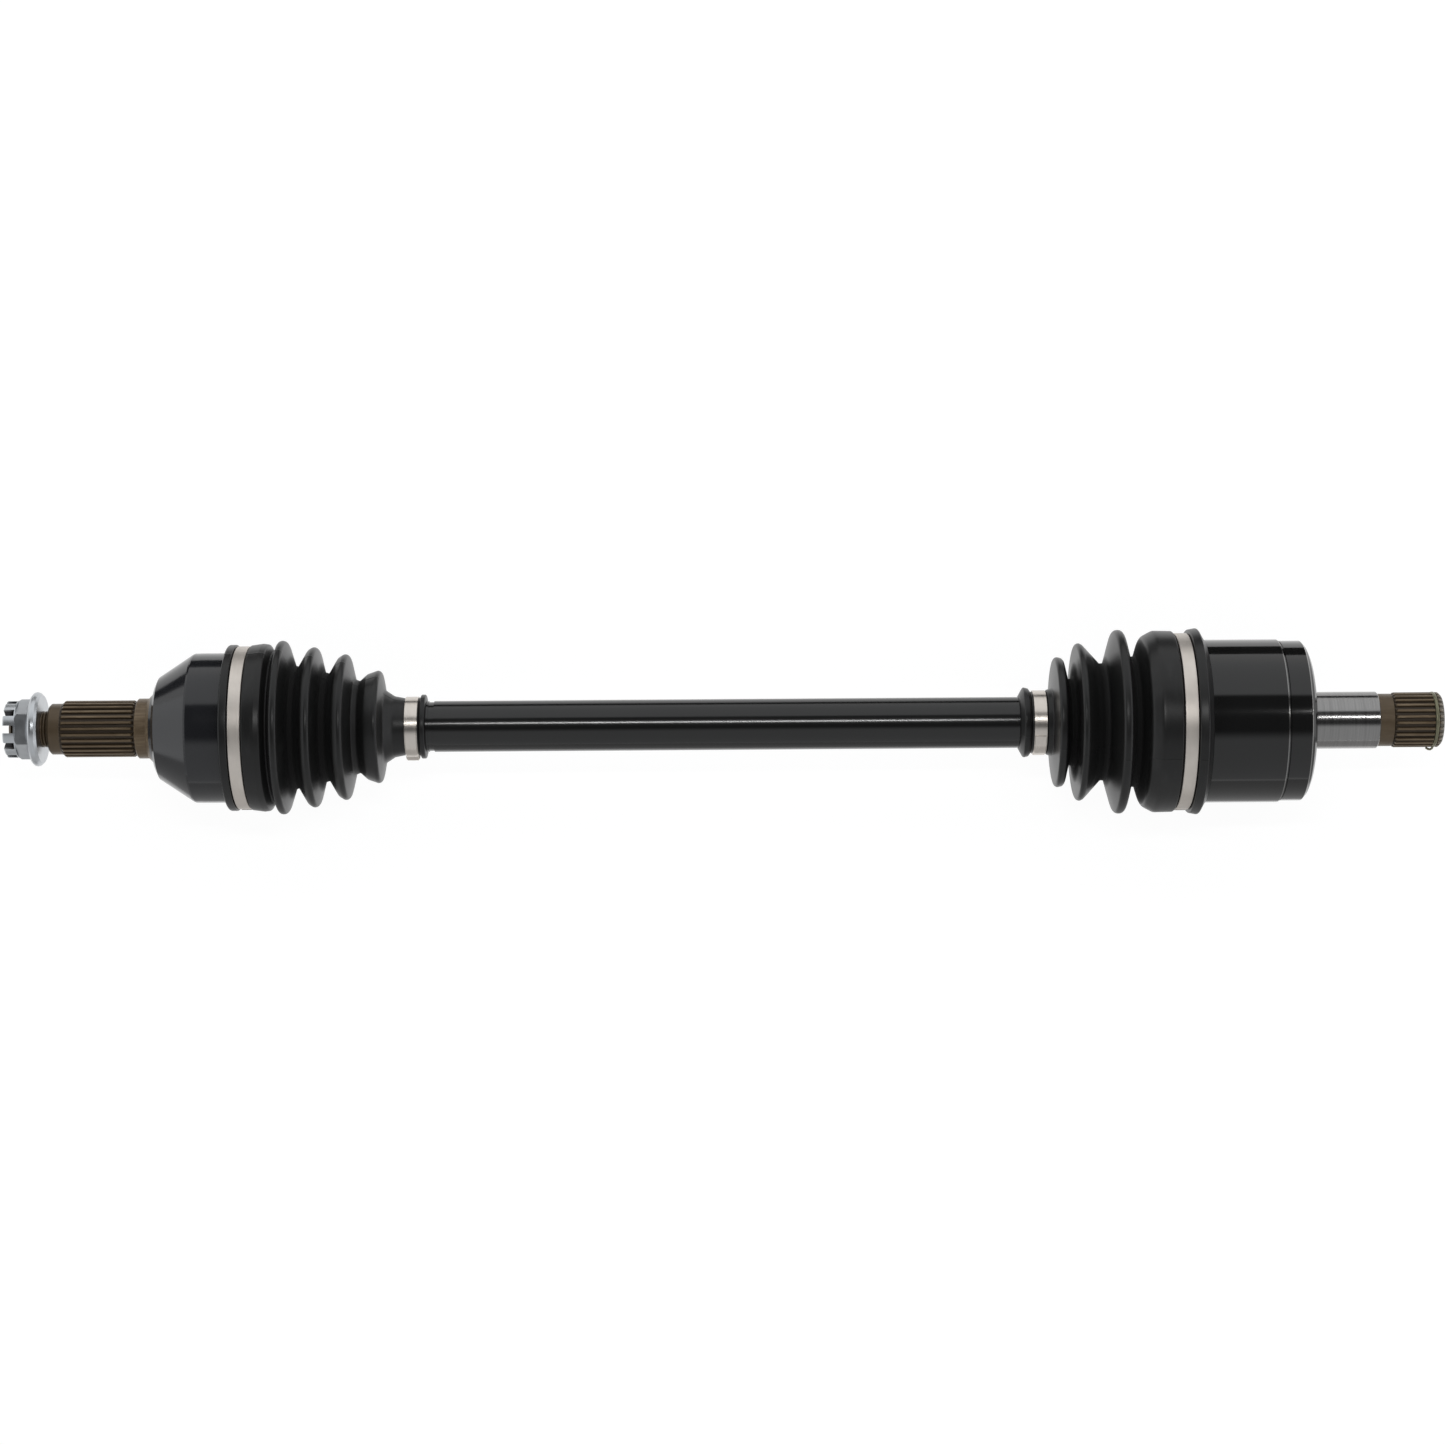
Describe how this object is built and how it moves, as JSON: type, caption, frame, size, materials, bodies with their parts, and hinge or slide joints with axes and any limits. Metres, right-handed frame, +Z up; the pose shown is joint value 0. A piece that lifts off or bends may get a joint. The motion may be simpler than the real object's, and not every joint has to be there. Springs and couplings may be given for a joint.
{
  "type": "constant velocity drive axle",
  "caption": "Drive axle: a bar between a fixed ball joint with a splined, threaded stub and a plunging ball joint with a splined stub, each under a folded rubber boot.",
  "frame": {"origin": "on the axle's axis, midway between its two ends", "axes": "+X along the axle from the wheel end to the differential end, +Z up"},
  "size_m": [0.7154, 0.093, 0.093],
  "materials": {
    "black_paint": "semi-gloss black paint, brown phosphated stub",
    "gloss_black": "gloss black paint, ground journal and brown spline",
    "bar_black": "gloss black paint",
    "zinc": "bright zinc plate",
    "bearing_steel": "ground, oiled",
    "phosphated_steel": "grey phosphate",
    "ball_steel": "polished",
    "spring_wire": "drawn wire",
    "rubber": "satin moulded rubber",
    "stainless_band": "satin stainless band"
  },
  "bodies": {
    "shaft": {"axle_shaft": "bar_black", "outer_inner_race": "bearing_steel", "outer_race_circlip": "spring_wire", "outer_boot": "rubber", "outer_small_clamp": "stainless_band", "inner_race": "bearing_steel", "inner_race_circlip": "spring_wire", "inner_boot": "rubber", "inner_small_clamp": "stainless_band"},
    "outer_upper_ball": {"outer_ball_1": "ball_steel"},
    "outer_lower_ball": {"outer_ball_4": "ball_steel"},
    "outer_cage_set": {"outer_cage": "phosphated_steel", "outer_ball_2": "ball_steel", "outer_ball_3": "ball_steel", "outer_ball_5": "ball_steel", "outer_ball_6": "ball_steel"},
    "outer_end": {"outer_housing": "black_paint", "axle_nut": "zinc", "outer_large_clamp": "stainless_band"},
    "inner_pivot_balls": {"inner_ball_1": "ball_steel", "inner_ball_4": "ball_steel"},
    "inner_cage_set": {"inner_cage": "phosphated_steel", "inner_ball_2": "ball_steel", "inner_ball_3": "ball_steel", "inner_ball_5": "ball_steel", "inner_ball_6": "ball_steel"},
    "inner_end": {"inner_housing": "gloss_black", "inner_large_clamp": "stainless_band", "inner_stop_ring": "spring_wire", "stub_circlip": "spring_wire"}
  },
  "joints": [
    {"name": "outer_pitch_a", "type": "hinge", "parent": "shaft", "child": "outer_upper_ball", "pos_m": [-0.2453, 0, 0], "axis": [0, 1, 0], "range_deg": [-12, 12], "deforming": ["outer_boot"]},
    {"name": "outer_yaw_a", "type": "hinge", "parent": "outer_upper_ball", "child": "outer_cage_set", "pos_m": [-0.2453, 0, 0], "axis": [0, 0, 1], "range_deg": [-12, 12], "deforming": ["outer_boot"]},
    {"name": "outer_yaw_b", "type": "hinge", "parent": "outer_cage_set", "child": "outer_lower_ball", "pos_m": [-0.2453, 0, 0], "axis": [0, 0, 1], "range_deg": [-12, 12], "deforming": ["outer_boot"]},
    {"name": "outer_pitch_b", "type": "hinge", "parent": "outer_lower_ball", "child": "outer_end", "pos_m": [-0.2453, 0, 0], "axis": [0, 1, 0], "range_deg": [-12, 12], "deforming": ["outer_boot"]},
    {"name": "inner_pitch_a", "type": "hinge", "parent": "shaft", "child": "inner_cage_set", "pos_m": [0.2487, 0, 0], "axis": [0, 1, 0], "range_deg": [-10, 10], "deforming": ["inner_boot"]},
    {"name": "inner_pitch_b", "type": "hinge", "parent": "inner_cage_set", "child": "inner_pivot_balls", "pos_m": [0.2487, 0, 0], "axis": [0, 1, 0], "range_deg": [-10, 10], "deforming": ["inner_boot"]},
    {"name": "inner_plunge", "type": "slide", "parent": "inner_pivot_balls", "child": "inner_end", "axis": [1, 0, 0], "range_m": [-0.012, 0.014], "deforming": ["inner_boot"]}
  ],
  "couplings": [
    {"joint": "outer_yaw_b", "follows": "outer_yaw_a", "ratio": 1},
    {"joint": "outer_pitch_b", "follows": "outer_pitch_a", "ratio": 1},
    {"joint": "inner_pitch_b", "follows": "inner_pitch_a", "ratio": 1}
  ]
}
